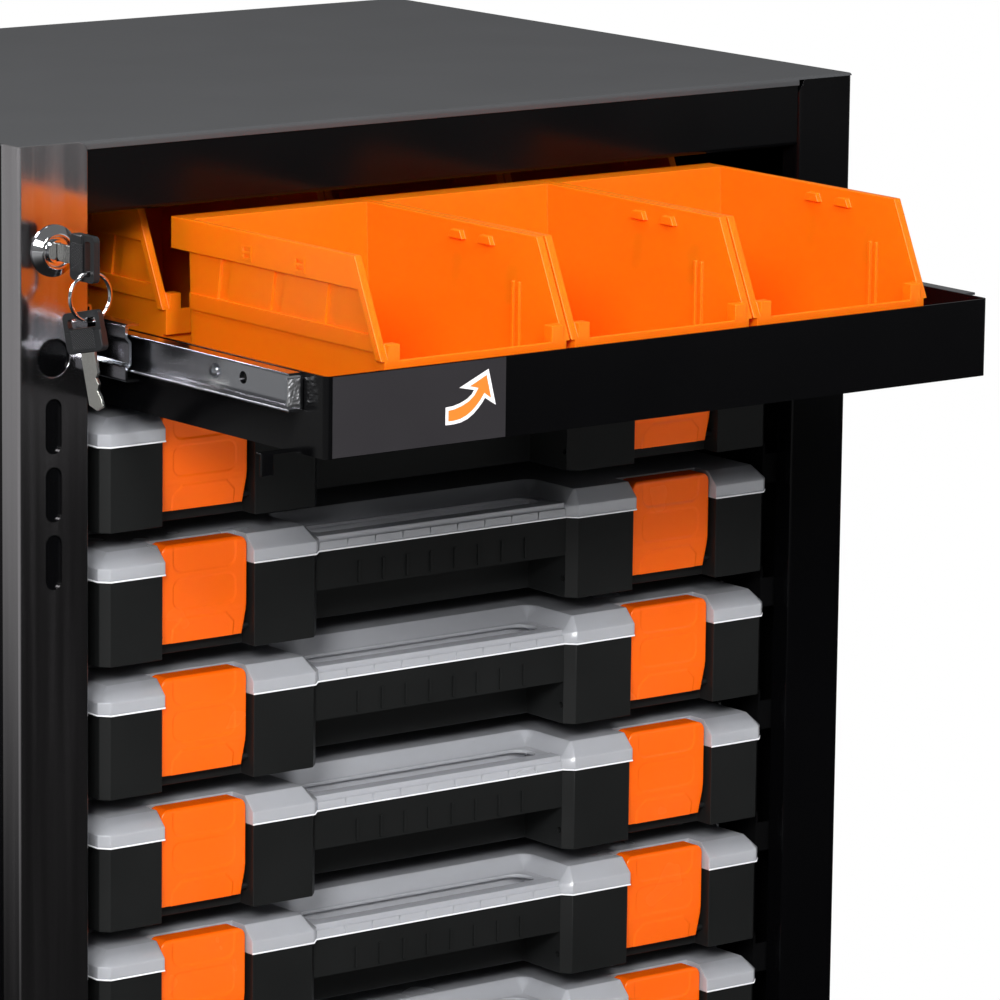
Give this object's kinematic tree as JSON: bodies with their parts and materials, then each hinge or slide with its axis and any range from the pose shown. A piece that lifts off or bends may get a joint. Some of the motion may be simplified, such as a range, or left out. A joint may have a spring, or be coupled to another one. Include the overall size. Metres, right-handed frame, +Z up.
{
  "type": "parts bin cabinet",
  "caption": "Steel parts cabinet with a bin drawer on ball-bearing slides above a stack of sliding organiser cases, key lock and trim bar.",
  "frame": {"origin": "centre of the flat underside of the bottom panel", "axes": "X to the right seen from the front, +Y to the back, +Z up; the drawer and cases open towards -Y"},
  "size_m": [0.5015, 0.5503, 0.54],
  "materials": {
    "cabinet_top": "matte",
    "cabinet_black": "gloss",
    "runner_black": "satin",
    "zinc": "satin",
    "stainless": "polished",
    "chrome": "polished",
    "bin_orange": "satin",
    "latch_orange": "satin",
    "lid_clear": "gloss",
    "case_black": "satin",
    "key_black": "matte",
    "label": "satin"
  },
  "bodies": {
    "cabinet": {"side_panel_left": "cabinet_black", "side_panel_right": "cabinet_black", "top_panel": "cabinet_top", "top_rail": "cabinet_black", "bottom_panel": "cabinet_black", "back_panel": "cabinet_black", "runner_uprights": "runner_black", "case_runners": "runner_black", "frame_screws": "zinc", "slide_outer_left": "zinc", "slide_outer_right": "zinc", "lock_bar": "stainless", "lock_body": "chrome", "lock_nut": "zinc", "lock_bracket": "zinc"},
    "slide_middles": {"slide_middle_left": "zinc", "slide_middle_right": "zinc"},
    "drawer": {"drawer_tray": "cabinet_black", "drawer_label": "label", "tray_screws": "zinc", "slide_inner_left": "zinc", "slide_inner_right": "zinc", "bin_f1": "bin_orange", "bin_f2": "bin_orange", "bin_f3": "bin_orange", "bin_r1": "bin_orange", "bin_r2": "bin_orange", "bin_r3": "bin_orange"},
    "lock_core": {"lock_plug": "chrome", "lock_cam": "zinc", "key_blade": "chrome", "key_head": "key_black"},
    "lock_rod": {"lock_rod": "zinc"},
    "key_ring": {"key_ring": "chrome"},
    "spare_key": {"spare_key_blade": "chrome", "spare_key_head": "key_black"},
    "case_1": {"case_1_base": "case_black", "case_1_lid": "lid_clear"},
    "case_1_latch_left": {"case_1_latch_left": "latch_orange"},
    "case_1_latch_right": {"case_1_latch_right": "latch_orange"},
    "case_2": {"case_2_base": "case_black", "case_2_lid": "lid_clear"},
    "case_2_latch_left": {"case_2_latch_left": "latch_orange"},
    "case_2_latch_right": {"case_2_latch_right": "latch_orange"},
    "case_3": {"case_3_base": "case_black", "case_3_lid": "lid_clear"},
    "case_3_latch_left": {"case_3_latch_left": "latch_orange"},
    "case_3_latch_right": {"case_3_latch_right": "latch_orange"},
    "case_4": {"case_4_base": "case_black", "case_4_lid": "lid_clear"},
    "case_4_latch_left": {"case_4_latch_left": "latch_orange"},
    "case_4_latch_right": {"case_4_latch_right": "latch_orange"},
    "case_5": {"case_5_base": "case_black", "case_5_lid": "lid_clear"},
    "case_5_latch_left": {"case_5_latch_left": "latch_orange"},
    "case_5_latch_right": {"case_5_latch_right": "latch_orange"},
    "case_6": {"case_6_base": "case_black", "case_6_lid": "lid_clear"},
    "case_6_latch_left": {"case_6_latch_left": "latch_orange"},
    "case_6_latch_right": {"case_6_latch_right": "latch_orange"}
  },
  "joints": [
    {"name": "drawer_slide", "type": "slide", "parent": "cabinet", "child": "drawer", "axis": [0, -1, 0], "range_m": [-0.165, 0.15]},
    {"name": "middle_slide", "type": "slide", "parent": "cabinet", "child": "slide_middles", "axis": [0, -1, 0], "range_m": [-0.0825, 0.075]},
    {"name": "case_1_slide", "type": "slide", "parent": "cabinet", "child": "case_1", "axis": [0, -1, 0], "range_m": [0, 0.33]},
    {"name": "case_1_latch_left", "type": "hinge", "parent": "case_1", "child": "case_1_latch_left", "pos_m": [-0.142, -0.1836, 0.3634], "axis": [1, 0, 0], "range_deg": [0, 95]},
    {"name": "case_1_latch_right", "type": "hinge", "parent": "case_1", "child": "case_1_latch_right", "pos_m": [0.142, -0.1836, 0.3634], "axis": [1, 0, 0], "range_deg": [0, 95]},
    {"name": "case_2_slide", "type": "slide", "parent": "cabinet", "child": "case_2", "axis": [0, -1, 0], "range_m": [0, 0.33]},
    {"name": "case_2_latch_left", "type": "hinge", "parent": "case_2", "child": "case_2_latch_left", "pos_m": [-0.142, -0.1836, 0.2994], "axis": [1, 0, 0], "range_deg": [0, 95]},
    {"name": "case_2_latch_right", "type": "hinge", "parent": "case_2", "child": "case_2_latch_right", "pos_m": [0.142, -0.1836, 0.2994], "axis": [1, 0, 0], "range_deg": [0, 95]},
    {"name": "case_3_slide", "type": "slide", "parent": "cabinet", "child": "case_3", "axis": [0, -1, 0], "range_m": [0, 0.33]},
    {"name": "case_3_latch_left", "type": "hinge", "parent": "case_3", "child": "case_3_latch_left", "pos_m": [-0.142, -0.1836, 0.2354], "axis": [1, 0, 0], "range_deg": [0, 95]},
    {"name": "case_3_latch_right", "type": "hinge", "parent": "case_3", "child": "case_3_latch_right", "pos_m": [0.142, -0.1836, 0.2354], "axis": [1, 0, 0], "range_deg": [0, 95]},
    {"name": "case_4_slide", "type": "slide", "parent": "cabinet", "child": "case_4", "axis": [0, -1, 0], "range_m": [0, 0.33]},
    {"name": "case_4_latch_left", "type": "hinge", "parent": "case_4", "child": "case_4_latch_left", "pos_m": [-0.142, -0.1836, 0.1714], "axis": [1, 0, 0], "range_deg": [0, 95]},
    {"name": "case_4_latch_right", "type": "hinge", "parent": "case_4", "child": "case_4_latch_right", "pos_m": [0.142, -0.1836, 0.1714], "axis": [1, 0, 0], "range_deg": [0, 95]},
    {"name": "case_5_slide", "type": "slide", "parent": "cabinet", "child": "case_5", "axis": [0, -1, 0], "range_m": [0, 0.33]},
    {"name": "case_5_latch_left", "type": "hinge", "parent": "case_5", "child": "case_5_latch_left", "pos_m": [-0.142, -0.1836, 0.1074], "axis": [1, 0, 0], "range_deg": [0, 95]},
    {"name": "case_5_latch_right", "type": "hinge", "parent": "case_5", "child": "case_5_latch_right", "pos_m": [0.142, -0.1836, 0.1074], "axis": [1, 0, 0], "range_deg": [0, 95]},
    {"name": "case_6_slide", "type": "slide", "parent": "cabinet", "child": "case_6", "axis": [0, -1, 0], "range_m": [0, 0.33]},
    {"name": "case_6_latch_left", "type": "hinge", "parent": "case_6", "child": "case_6_latch_left", "pos_m": [-0.142, -0.1836, 0.0434], "axis": [1, 0, 0], "range_deg": [0, 95]},
    {"name": "case_6_latch_right", "type": "hinge", "parent": "case_6", "child": "case_6_latch_right", "pos_m": [0.142, -0.1836, 0.0434], "axis": [1, 0, 0], "range_deg": [0, 95]},
    {"name": "lock_turn", "type": "hinge", "parent": "cabinet", "child": "lock_core", "pos_m": [-0.2325, -0.1925, 0.491], "axis": [0, 1, 0], "range_deg": [0, 90]},
    {"name": "lock_rod_slide", "type": "slide", "parent": "cabinet", "child": "lock_rod", "axis": [0, 0, -1], "range_m": [0, 0.01]},
    {"name": "ring_hang", "type": "hinge", "parent": "lock_core", "child": "key_ring", "pos_m": [-0.2325, -0.2242, 0.48155], "axis": [0, 1, 0], "range_deg": [-90, 0]},
    {"name": "spare_swing", "type": "hinge", "parent": "key_ring", "child": "spare_key", "pos_m": [-0.2325, -0.2242, 0.47365], "axis": [0, 1, 0], "range_deg": [-12, 12]}
  ],
  "couplings": [
    {"joint": "middle_slide", "follows": "drawer_slide", "ratio": 0.5},
    {"joint": "lock_turn", "follows": "lock_rod_slide", "rad_per_m": 157.08},
    {"joint": "ring_hang", "follows": "lock_rod_slide", "rad_per_m": -157.08}
  ]
}
